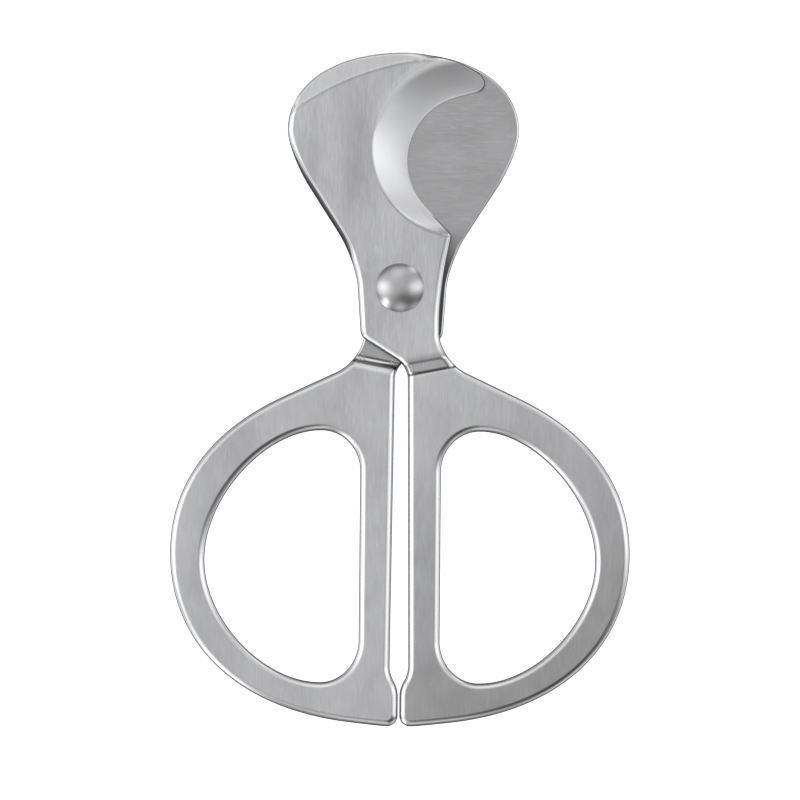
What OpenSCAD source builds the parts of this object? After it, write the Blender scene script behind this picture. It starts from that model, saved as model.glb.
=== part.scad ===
// Short all-steel scissors with a round mouth, for trimming candle wicks.
//
// Two equal stampings, each a crescent blade and a finger ring in one piece, are
// turned back to back and riveted together. The origin is on the pivot axis, on the
// flat end of the rivet's tail. +Y runs along the tool to the blade tips and +Z is
// the side with the domed rivet head. A stamping is drawn in its own frame: its
// sliding face on z = 0, its lobe towards -X, its finger ring towards +X.

/* [Overall] */
// Pivot axis to the top of the head
head_reach = 40.4; // [34:0.2:48]
// Pivot axis to the lowest point of the finger rings
tail_reach = 74.7; // [66:0.2:88]
// Centre line to the side of the head
lobe_half = 19.8; // [17:0.2:23]
// Centre line to the side of a finger ring
ring_half = 39.2; // [34:0.2:46]
// Thickness of the steel sheet
sheet_t = 2.0; // [1.4:0.1:2.6]
// Pivot axis to the centre line, towards the front half's ring
pivot_off = 0.4; // [0:0.1:0.8]

/* [Mouth] */
// Radius of the cutting edge
mouth_r = 11.4; // [10:0.1:13]
// Height of the steel above the mouth
mouth_cover = 7.1; // [6:0.1:8.4]
// How far each cutting edge reaches past the centre line when closed
mouth_lap = 0.7; // [0.3:0.1:1.4]
// Width of the ground hollow round the mouth, on average
hollow_w = 4.0; // [3.4:0.1:4.6]
// How far the hollow's rim stands off the mouth, towards the lobe
hollow_side = 2.1; // [1.2:0.1:2.2]
// How far the hollow's rim stands off the mouth, towards the tip
hollow_up = 2.3; // [1.4:0.1:2.4]
// Thickness left at the cutting edge
edge_t = 0.25; // [0.15:0.05:0.6]
// Radius of the inner line of the bevel along the top of the head
bevel_r = 47; // [43:1:56]
// Slope of that bevel
bevel_slope = 16; // [8:1:22]

/* [Neck] */
// Centre line to the neck's edge on the lobe's side
neck_outer = 7.6; // [6.8:0.1:8.6]
// Centre line to the neck's edge on the ring's side
neck_inner = 6.4; // [5.6:0.1:7]
// Pivot axis to the upper fold of the step between blade and handle
step_reach = 12.9; // [12.2:0.1:14]
// Length of the step along the tool
step_len = 2.5; // [2.2:0.1:3.4]
// Slant of the step's folds across the tool, in degrees
step_slant = 11; // [4:1:15]
// Clearance between the two blades
blade_gap = 0.1; // [0.04:0.02:0.2]

/* [Finger ring] */
// Width of the ring's band at its side
band_side = 5.9; // [4.6:0.1:7.2]
// Width of the ring's band at its lowest point
band_low = 7.4; // [6:0.1:9]
// Pivot axis to the top of the finger hole
hole_reach = 24.4; // [23:0.2:28]
// Width of the straight bar beside the centre line
bar_w = 5.8; // [4.8:0.1:7]
// Half the slot between the bars, at its upper end
slot_half = 1.1; // [0.8:0.05:1.6]
// How much further the bars stand apart at their lower end
slot_lean = 0.5; // [0:0.05:0.8]
// Half the gap left between the two heels when closed
heel_half = 0.15; // [0.1:0.05:0.3]
// Height of the heel's flat
heel_h = 5.2; // [4:0.1:7]

/* [Rivet] */
// Diameter of the domed head
head_d = 8.3; // [7.4:0.1:9.4]
// Height of the dome
head_h = 1.9; // [1.4:0.1:2.4]
// Diameter of the shoulder that the front half turns on
shoulder_d = 5.0; // [4.2:0.1:5.8]
// Diameter of the tenon that the rear half is riveted to
tenon_d = 3.6; // [3:0.1:4]
// Diameter of the closed tail
tail_d = 6.0; // [5.4:0.1:6.8]
// Thickness of the closed tail
tail_h = 0.7; // [0.5:0.1:1.1]
// Outside diameter of the washer under the tail
washer_d = 7.4; // [6.8:0.1:8.4]
// Thickness of that washer
washer_t = 0.5; // [0.3:0.1:0.8]
// Radial clearance of the front half on the shoulder, and of the washer on the tenon
turning_gap = 0.05; // [0.03:0.01:0.08]
// Clearance between the front half and the rivet's head
end_play = 0.05; // [0.03:0.01:0.1]

/* [Hidden] */

STEEL = "silver";
BRIGHT = "gainsboro";
$fn = 96;
curve_steps = 14;          // pieces in each rounded corner of an outline
arc_step = 4;              // degrees between points of the cutting edge
fold_steps = 5;            // pieces in each fold of the step
over = 1;                  // how far a cutter stands past what it cuts

blade_low = blade_gap / 2;                  // sliding face
blade_top = blade_low + sheet_t;            // outer face
blade_mid = blade_low + sheet_t / 2;        // the handle's middle plane is z = 0
parting_z = tail_h + washer_t + sheet_t + blade_gap / 2;

hole_left = slot_half + bar_w;
hole_right = ring_half - band_side;
hole_low = -(tail_reach - band_low);
hole_mid_x = hole_left + (hole_right - hole_left) * 0.25;

ring_mid = 0.605 * tail_reach;              // pivot axis to the ring's widest line
hole_mid_y = -(ring_mid + 1.3);
shoulder_slope = 25.2;                      // fall of the shoulder from neck to ring
diagonal_slope = 32;                        // rise of the neck's lower edge
mouth_c = [mouth_r + mouth_lap, head_reach - mouth_cover - mouth_r];
hollow_c = mouth_c + [-hollow_side, hollow_up];
hollow_r = mouth_r + hollow_w;
horn_tip = mouth_c + [1.8, mouth_r + 3];    // outer corner of the blade's tip
horn_back = mouth_c + [1.7, mouth_r + 0.8]; // inner corner of the blade's tip
horn_side = norm(horn_tip - [horn_tip[0] / 2, head_reach]);  // outer side of that tip
spur = mouth_c - [3.7, mouth_r + 1.4];      // lower end of the cutting edge
bevel_c = [9, head_reach - 1 - bevel_r];    // centre of the bevel's inner line

// ---------------------------------------------------------------- outlines

function unit(v) = v / norm(v);
function at(deg) = [cos(deg), sin(deg)];
function xy(p) = [p[0], p[1]];

// Points of one corner c, rounded from its side towards a to its side towards b.
// c is [x, y, trim along the side before, trim along the side after, fullness];
// a corner with no trims stays sharp, and a fullness of 0.55 is close to an arc.
function corner(a, c, b) =
    len(c) == 2 ? [c] :
    let (
        p = xy(c),
        start = p + unit(xy(a) - p) * c[2],
        end = p + unit(xy(b) - p) * c[3],
        k = len(c) == 5 ? c[4] : 0.55,
        lead = start + (p - start) * k,
        tail = end + (p - end) * k
    )
    [for (i = [0:curve_steps])
        let (t = i / curve_steps, s = 1 - t)
        start * s * s * s + lead * 3 * s * s * t + tail * 3 * s * t * t + end * t * t * t];

function outline(cs) =
    let (n = len(cs))
    [for (i = [0:n - 1]) each corner(cs[(i + n - 1) % n], cs[i], cs[(i + 1) % n])];

// Direction from c to the point where a line from p touches the circle (c, r).
function touch(p, c, r, side) =
    atan2(p[1] - c[1], p[0] - c[0]) + side * acos(r / norm(p - c));

mouth_from = touch(horn_back, mouth_c, mouth_r, 1);
mouth_to = touch(spur, mouth_c, mouth_r, -1) + 360;
mouth_steps = ceil((mouth_to - mouth_from) / arc_step);
mouth_arc = [for (i = [0:mouth_steps])
    mouth_c + mouth_r * at(mouth_from + (mouth_to - mouth_from) * i / mouth_steps)];

// Outer edge of a stamping, clockwise from the fillet where the neck meets the ring.
// The numbers after a corner's place are its trims and fullness, which shape the curve.
neck_low = -12.2;                           // where the neck meets the ring's shoulder
ring_top = neck_low - (ring_half - neck_inner) * tan(shoulder_slope);
slot_low = slot_half + slot_lean;
heel_top = heel_h - tail_reach;
heel_end = 3;                               // where the heel's flat bottom ends
low_rise = (ring_half - heel_end) * tan(6.6);  // rise of the ring's bottom to its side
crotch_y = -(step_reach + 0.5);
lobe_y = head_reach - 13.5;
flank_low = [-(neck_outer + 0.3), 4.6];
flank_high = [-lobe_half, lobe_y - 3.8];
blank_corners = concat(
    [
        [neck_inner, neck_low, 4.6, 5.2],
        [ring_half, ring_top, 0.58 * (ring_half - neck_inner) / cos(shoulder_slope),
            ring_mid + ring_top, 0.65],
        [ring_half, low_rise - tail_reach, tail_reach - low_rise - ring_mid,
            ring_half - 8.5, 0.62],
        [heel_end, -tail_reach, 4, 0.9],
        [heel_half, -tail_reach, 1.8, 1.8],
        [heel_half, heel_top + 1.3, 1.3, 1.3],
        [slot_low, heel_top + 3.7, 1.3, 1.3],
        [slot_half, crotch_y, 2.1, 2.1],
        [0.6 - neck_outer, crotch_y + (slot_half + neck_outer - 0.6) * tan(diagonal_slope), 0.9, 1],
        [flank_low[0], flank_low[1], 4.6, 5.7],
        [flank_high[0], flank_high[1], 7, lobe_y - flank_high[1]],
        [-lobe_half, head_reach, head_reach - lobe_y, lobe_half, 0.6],
        [horn_tip[0] / 2, head_reach, horn_tip[0] / 2, 0.72 * horn_side],
        [horn_tip[0], horn_tip[1], 1.6, 1.1],
        [horn_back[0], horn_back[1], 1, 1]
    ],
    mouth_arc,
    [
        [spur[0], spur[1], 0.3, 0.3],
        [neck_inner, -0.5, 6, 5]
    ]
);

// Finger hole: a straight side along the bar, round everywhere else.
hole_corners = [
    [hole_left, -hole_reach, 6.9, hole_mid_x - hole_left, 0.55],
    [hole_right, -hole_reach, hole_right - hole_mid_x, -hole_mid_y - hole_reach, 0.48],
    [hole_right, hole_low, hole_mid_y - hole_low, hole_right - hole_mid_x, 0.49],
    [hole_left, hole_low, hole_mid_x - hole_left, 7.2, 0.55]
];

// ---------------------------------------------------------------- the step

// Height of the sheet's middle above the handle's, v along the tool from the
// step's lower fold: two arcs joined by a straight slope.
fold_w = step_len * 0.36;                   // length of each fold
rise = blade_mid / (step_len - fold_w);     // slope of the straight part
function sheet_mid(v) =
    v <= 0 ? 0 :
    v >= step_len ? blade_mid :
    v < fold_w ? rise * v * v / (2 * fold_w) :
    v > step_len - fold_w
        ? blade_mid - rise * (step_len - v) * (step_len - v) / (2 * fold_w)
        : rise * (v - fold_w / 2);

fold_marks = concat(
    [-2 * tail_reach],
    [for (i = [0:fold_steps]) fold_w * i / fold_steps],
    [for (i = [0:fold_steps]) step_len - fold_w * (1 - i / fold_steps)],
    [2 * head_reach]
);

// Side view of the sheet, blade level above the step and handle level below it.
module sheet_profile() {
    low = [for (v = fold_marks) [v, sheet_mid(v) - sheet_t / 2]];
    high = [for (i = [len(fold_marks) - 1:-1:0])
        [fold_marks[i], sheet_mid(fold_marks[i]) + sheet_t / 2]];
    polygon(concat(low, high));
}

module stepped_sheet() {
    reach = 2 * ring_half;
    rotate([0, 0, step_slant])
        translate([-reach, -(step_reach + step_len) * cos(step_slant), 0])
            rotate([90, 0, 90])
                linear_extrude(height = 2 * reach) sheet_profile();
}

// ---------------------------------------------------------------- the stampings

module blank() {
    linear_extrude(height = 6 * sheet_t, center = true)
        difference() {
            polygon(outline(blank_corners));
            polygon(outline(hole_corners));
        }
}

// The ground hollow: discs that shrink from the rim to the cutting edge while their
// centre moves from the rim's to the mouth's, steepest at the rim.
hollow_steps = 3;
hollow_depth = sheet_t - edge_t;
function hollow_share(i) = 1 - pow(1 - i / hollow_steps, 1.5);
module hollow_disc(u, depth) {
    c = hollow_c * (1 - u) + mouth_c * u;
    translate([c[0], c[1], blade_top - depth])
        cylinder(r = hollow_r * (1 - u) + mouth_r * u, h = 0.01, $fn = 64);
}

module hollow() {
    for (i = [0:hollow_steps - 1])
        hull() {
            hollow_disc(i / hollow_steps, hollow_depth * hollow_share(i));
            hollow_disc((i + 1) / hollow_steps, hollow_depth * hollow_share(i + 1));
        }
    translate([hollow_c[0], hollow_c[1], blade_top])
        cylinder(r = hollow_r, h = over);
}

// The bevel along the top of the head: what lies outside a wide cone.
module bevel() {
    width = 12;                             // wide enough to pass the head's corner
    intersection() {
        translate([bevel_c[0], bevel_c[1], blade_top])
            rotate_extrude($fn = 180)
                polygon([[bevel_r, 0], [bevel_r + width, -width * tan(bevel_slope)],
                    [bevel_r + width, over], [bevel_r, over]]);
        translate([-lobe_half - over, mouth_c[1], 0])
            cube([2 * lobe_half, head_reach, sheet_t + 2 * over]);
    }
}

module stamping(pivot_x, pivot_r) {
    difference() {
        intersection() {
            blank();
            stepped_sheet();
        }
        hollow();
        bevel();
        translate([pivot_x, 0, 0])
            cylinder(r = pivot_r, h = 6 * sheet_t, center = true);
    }
}

// ---------------------------------------------------------------- the pieces

module front_half() {
    color(STEEL)
        translate([pivot_off, 0, parting_z])
            stamping(-pivot_off, shoulder_d / 2 + turning_gap);
}

module rear_half() {
    color(STEEL)
        translate([pivot_off, 0, parting_z])
            rotate([0, 180, 0])
                stamping(pivot_off, tenon_d / 2);
}

// Domed head, a shoulder as long as the front half is thick, a tenon through the
// rear half and the washer, and the tail closed over the washer.
module pivot_rivet() {
    tail_edge = 0.35;
    shoulder_z = parting_z - blade_low;
    head_z = parting_z + blade_top + end_play;
    dome_r = (head_d * head_d / 4 + head_h * head_h) / (2 * head_h);
    dome_from = acos(1 - head_h / dome_r);
    color(BRIGHT)
        rotate_extrude()
            polygon(concat(
                [[0, 0], [tail_d / 2 - tail_edge, 0], [tail_d / 2, tail_edge], [tail_d / 2, tail_h],
                    [tenon_d / 2, tail_h], [tenon_d / 2, shoulder_z],
                    [shoulder_d / 2, shoulder_z], [shoulder_d / 2, head_z]],
                [for (i = [0:12])
                    [dome_r * sin(dome_from * (1 - i / 12)),
                        head_z + head_h - dome_r + dome_r * cos(dome_from * (1 - i / 12))]]
            ));
}

module tail_washer() {
    color(BRIGHT)
        translate([0, 0, tail_h])
            difference() {
                cylinder(d = washer_d, h = washer_t);
                translate([0, 0, -over])
                    cylinder(r = tenon_d / 2 + turning_gap, h = washer_t + 2 * over);
            }
}

front_half();
rear_half();
pivot_rivet();
tail_washer();
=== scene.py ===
"""Looks of a short pair of crescent-blade scissors that trims candle wicks.

The two halves are one stamped shape, one of them turned over, joined by a domed rivet
with a washer under its tail.  A stamping is worked out in its own frame, in millimetres,
with the plane between the blades at z = 0, its lobe towards -X and its finger ring towards
+X, and is then carried to its place in the frame.  Its two skins are height fields over
one net of points, so that the rounded edges, the step at the neck, the ground hollow and
the bevel are all real shape.
"""

from __future__ import annotations

import logging
import math
from dataclasses import dataclass, field
from enum import Enum
from typing import Any, Callable, Sequence

import bpy
import numpy as np
from mathutils import Matrix, Vector
from mathutils.geometry import delaunay_2d_cdt


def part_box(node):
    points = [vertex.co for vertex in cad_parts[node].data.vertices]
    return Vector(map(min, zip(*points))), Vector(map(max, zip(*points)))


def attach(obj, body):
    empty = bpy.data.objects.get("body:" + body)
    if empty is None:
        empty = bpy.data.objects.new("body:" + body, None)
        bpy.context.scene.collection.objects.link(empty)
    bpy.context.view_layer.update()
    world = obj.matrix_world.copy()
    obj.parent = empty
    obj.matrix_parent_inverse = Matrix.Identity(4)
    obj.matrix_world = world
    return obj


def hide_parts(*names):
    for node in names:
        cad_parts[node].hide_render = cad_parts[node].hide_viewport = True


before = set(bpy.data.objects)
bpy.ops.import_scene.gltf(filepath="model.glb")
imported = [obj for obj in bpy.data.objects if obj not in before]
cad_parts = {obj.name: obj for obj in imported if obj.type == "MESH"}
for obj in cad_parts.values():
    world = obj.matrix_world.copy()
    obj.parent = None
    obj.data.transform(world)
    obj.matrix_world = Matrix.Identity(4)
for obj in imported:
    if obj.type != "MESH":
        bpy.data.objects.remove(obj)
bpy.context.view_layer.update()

log = logging.getLogger("wick_trimmer")
MM = 0.001
TINY = 1e-9
PIVOT_PLAY = 0.05
Skin = Callable[[np.ndarray, np.ndarray], np.ndarray]


# ------------------------------------------------------------------ curves and fields


def smooth(low: float, high: float, value: np.ndarray) -> np.ndarray:
    """Rises from 0 at low to 1 at high along 3t^2 - 2t^3.

    Args:
        low: value at which the result is 0.
        high: value at which the result is 1; it may be below low.
        value: where the curve is read.

    Returns:
        The curve's height at each value.
    """
    t = np.clip((value - low) / (high - low), 0.0, 1.0)
    return t * t * (3.0 - 2.0 * t)


def band(value: np.ndarray, low: float, full: float, wane: float, high: float
         ) -> np.ndarray:
    """A soft-edged band: 0 below low, 1 from full to wane, and 0 again above high.

    Args:
        value: where the band is read.
        low: value at which it starts to rise.
        full: value at which it is risen.
        wane: value at which it starts to fall.
        high: value at which it has fallen.

    Returns:
        The band's height at each value.
    """
    return smooth(low, full, value) * smooth(high, wane, value)


@dataclass(frozen=True)
class Corner:
    """A corner of an outline, rounded over two trims by a cubic curve."""

    x: float
    y: float
    before: float = 0.0
    after: float = 0.0
    fullness: float = 0.55

    @property
    def point(self) -> np.ndarray:
        """The corner's own point."""
        return np.array([self.x, self.y])

    def curve(self, previous: Corner, following: Corner, spacing: float) -> np.ndarray:
        """Points of the rounding: a Bezier curve between the ends of the two trims.

        Its handles reach from those ends towards the corner by the fullness.

        Args:
            previous: the corner before this one.
            following: the corner after this one.
            spacing: the widest step wanted between points.

        Returns:
            The points, one row each; a single row if the corner is sharp.
        """
        if self.before + self.after == 0.0:
            return self.point[None, :]
        back = previous.point - self.point
        ahead = following.point - self.point
        start = self.point + back / np.linalg.norm(back) * self.before
        end = self.point + ahead / np.linalg.norm(ahead) * self.after
        lead = start + (self.point - start) * self.fullness
        tail = end + (self.point - end) * self.fullness
        steps = max(12, math.ceil((self.before + self.after) / spacing))
        t = np.linspace(0.0, 1.0, steps + 1)[:, None]
        s = 1.0 - t
        return start * s**3 + lead * 3 * s * s * t + tail * 3 * s * t * t + end * t**3


def on_circles(centre: np.ndarray, radius: float | np.ndarray, turn: np.ndarray
               ) -> np.ndarray:
    """Points on circles: the centre plus the radius times (cos turn, sin turn).

    Args:
        centre: one centre, or a row for each point.
        radius: one radius, or one for each point.
        turn: each point's direction in radians.

    Returns:
        The points, one row each.
    """
    around = np.stack([np.cos(turn), np.sin(turn)], axis=-1)
    return centre + np.asarray(radius)[..., None] * around


def filled_in(points: np.ndarray, spacing: float) -> np.ndarray:
    """A closed line with its long sides divided, every given point kept.

    Args:
        points: the closed line's points.
        spacing: the widest step wanted.

    Returns:
        The finer closed line.
    """
    sides = np.roll(points, -1, axis=0) - points
    count = np.maximum(1, np.ceil(np.hypot(*sides.T) / spacing).astype(int))
    owner = np.repeat(np.arange(len(points)), count)
    place = np.arange(count.sum()) - np.repeat(np.cumsum(count) - count, count)
    return points[owner] + sides[owner] * (place / count[owner])[:, None]


def inward_normals(points: np.ndarray) -> np.ndarray:
    """Unit normals of a closed line, to the right of its run: into a clockwise outline.

    Args:
        points: the closed line's points.

    Returns:
        One unit vector for each point, square to the line through its two neighbours.
    """
    run = np.roll(points, -1, axis=0) - np.roll(points, 1, axis=0)
    run /= np.linalg.norm(run, axis=1)[:, None]
    return np.stack([run[:, 1], -run[:, 0]], axis=1)


def inside(points: np.ndarray, loops: Sequence[np.ndarray]) -> np.ndarray:
    """Whether points lie in the sheet: to their right they cross its loops an odd count.

    The points are taken in bands of like height, each against the sides that cross it.

    Args:
        points: the points tested, one row each.
        loops: the closed lines that bound the sheet.

    Returns:
        One truth value for each point.
    """
    ax, ay = np.concatenate(loops).T
    bx, by = np.concatenate([np.roll(loop, -1, axis=0) for loop in loops]).T
    slope = (bx - ax) / np.where(by == ay, 1.0, by - ay)
    low, high = np.minimum(ay, by), np.maximum(ay, by)
    found = np.zeros(len(points), bool)
    for rows in np.array_split(np.argsort(points[:, 1]), len(points) // 400 + 1):
        x, y = points[rows, :1], points[rows, 1:]
        near = (high >= y.min()) & (low <= y.max())
        level = (ay[near] > y) != (by[near] > y)
        crosses = level & (x < slope[near] * (y - ay[near]) + ax[near])
        found[rows] = crosses.sum(axis=1) % 2 == 1
    return found


@dataclass
class NearestEdge:
    """Distance to the nearest of many short sides, and the way it grows.

    The sides are kept in groups of neighbours, and a point is measured only against
    the few groups whose circles come nearest to it.
    """

    starts: np.ndarray
    ends: np.ndarray
    group: int = 16
    tried: int = 5
    lines: np.ndarray = field(init=False)
    centres: np.ndarray = field(init=False)
    radii: np.ndarray = field(init=False)

    def __post_init__(self) -> None:
        """Puts the sides in groups, the last one filled up with its own last side."""
        count = math.ceil(len(self.starts) / self.group)
        order = np.minimum(np.arange(count * self.group), len(self.starts) - 1)
        self.lines = np.stack([self.starts, self.ends - self.starts], axis=1)[order]
        self.lines = self.lines.reshape(count, self.group, 2, 2)
        middles = self.lines[:, :, 0] + self.lines[:, :, 1] / 2
        self.centres = middles.mean(axis=1)
        self.radii = np.hypot(*(middles - self.centres[:, None]).T).T.max(axis=1)

    def read(self, points: np.ndarray) -> tuple[np.ndarray, np.ndarray]:
        """Each point's distance to its nearest side.

        Args:
            points: where the distance is wanted, one row each.

        Returns:
            The distances, and the unit directions in which they grow.
        """
        distances, directions = [], []
        tried = min(self.tried, len(self.centres))
        for part in np.array_split(points, max(1, len(points) // 4000)):
            away = np.hypot(part[:, :1] - self.centres[:, 0],
                            part[:, 1:] - self.centres[:, 1])
            near = np.argpartition(away - self.radii, tried - 1, axis=1)[:, :tried]
            lines = self.lines[near].reshape(len(part), -1, 2, 2)
            run = lines[:, :, 1]
            off = part[:, None, :] - lines[:, :, 0]
            t = (off * run).sum(axis=2) / np.maximum((run**2).sum(axis=2), 1e-12)
            gap = off - np.clip(t, 0.0, 1.0)[..., None] * run
            far = (gap**2).sum(axis=2)
            best = far.argmin(axis=1)
            rows = np.arange(len(part))
            distance = np.sqrt(far[rows, best])
            distances.append(distance)
            directions.append(gap[rows, best] / np.maximum(distance, TINY)[:, None])
        return np.concatenate(distances), np.concatenate(directions)


# ------------------------------------------------------------------ the stamping

STEEPEST = 0.97
CHAMFER = 0.35
FULL_TURN = (1.0 - CHAMFER) * (1.0 - math.sqrt(1.0 - STEEPEST**2)) + CHAMFER


class Zone(Enum):
    """Parts of a stamping's skins, each kept as an attribute of its mesh."""

    # The wall; the finish also paints it dark as painted shade, a dark outline.
    WALL = "wall"
    SHOULDER = "shoulder"
    DISH = "dish"
    BEVEL = "bevel"
    SLIDE = "slide"
    RING = "ring"
    STEP = "step"
    # The lobe's flank, whose wall is painted darker still as painted shade.
    FLANK = "flank"
    # Painted shade on the sliding face beside the front half's neck.
    NECK_SHADE = "neck_shade"
    # Painted highlight lines above 0 and painted shade lines below 0.
    PAINTED_LINES = "painted_lines"
    # A darker strip of the lobe beside the hollow.
    DARK_STRIP = "dark_strip"
    RIM = "rim"


@dataclass(frozen=True)
class EdgeShape:
    """How one skin falls at the sheet's edge: a steep wall, then a rounded shoulder.

    Lengths are in millimetres.  wall is the wall's width seen from above and shoulder
    the rounding's.  drop is the scale of the shoulder's depth, of which it takes
    FULL_TURN, and fall is the wall's depth.
    """

    wall: np.ndarray
    shoulder: np.ndarray
    drop: np.ndarray
    fall: np.ndarray

    def depth(self, distance: np.ndarray) -> np.ndarray:
        """Depth below the skin: over the shoulder a straight chamfer and an ellipse's
        quarter added together, then a slope down the wall.

        Args:
            distance: distance in from the sheet's edge.

        Returns:
            The depth at each distance.
        """
        share = (self.wall + self.shoulder - distance) / self.shoulder
        turn = np.clip(share, 0.0, 1.0) * STEEPEST
        bend = (1.0 - CHAMFER) * (1.0 - np.sqrt(1.0 - turn**2))
        rounded = self.drop * (bend + CHAMFER * np.clip(share, 0.0, 1.0))
        steep = self.fall * np.clip(1.0 - distance / self.wall, 0.0, 1.0)
        return rounded + steep

    def wall_mark(self, distance: np.ndarray) -> np.ndarray:
        """1 on the wall, 0 past it."""
        return smooth(self.wall * 1.25, self.wall * 0.75, distance)

    def shoulder_mark(self, distance: np.ndarray) -> np.ndarray:
        """1 on the wall and the lower part of the shoulder, 0 on the face."""
        return smooth(self.wall + self.shoulder, self.wall + self.shoulder * 0.6, distance)


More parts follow.
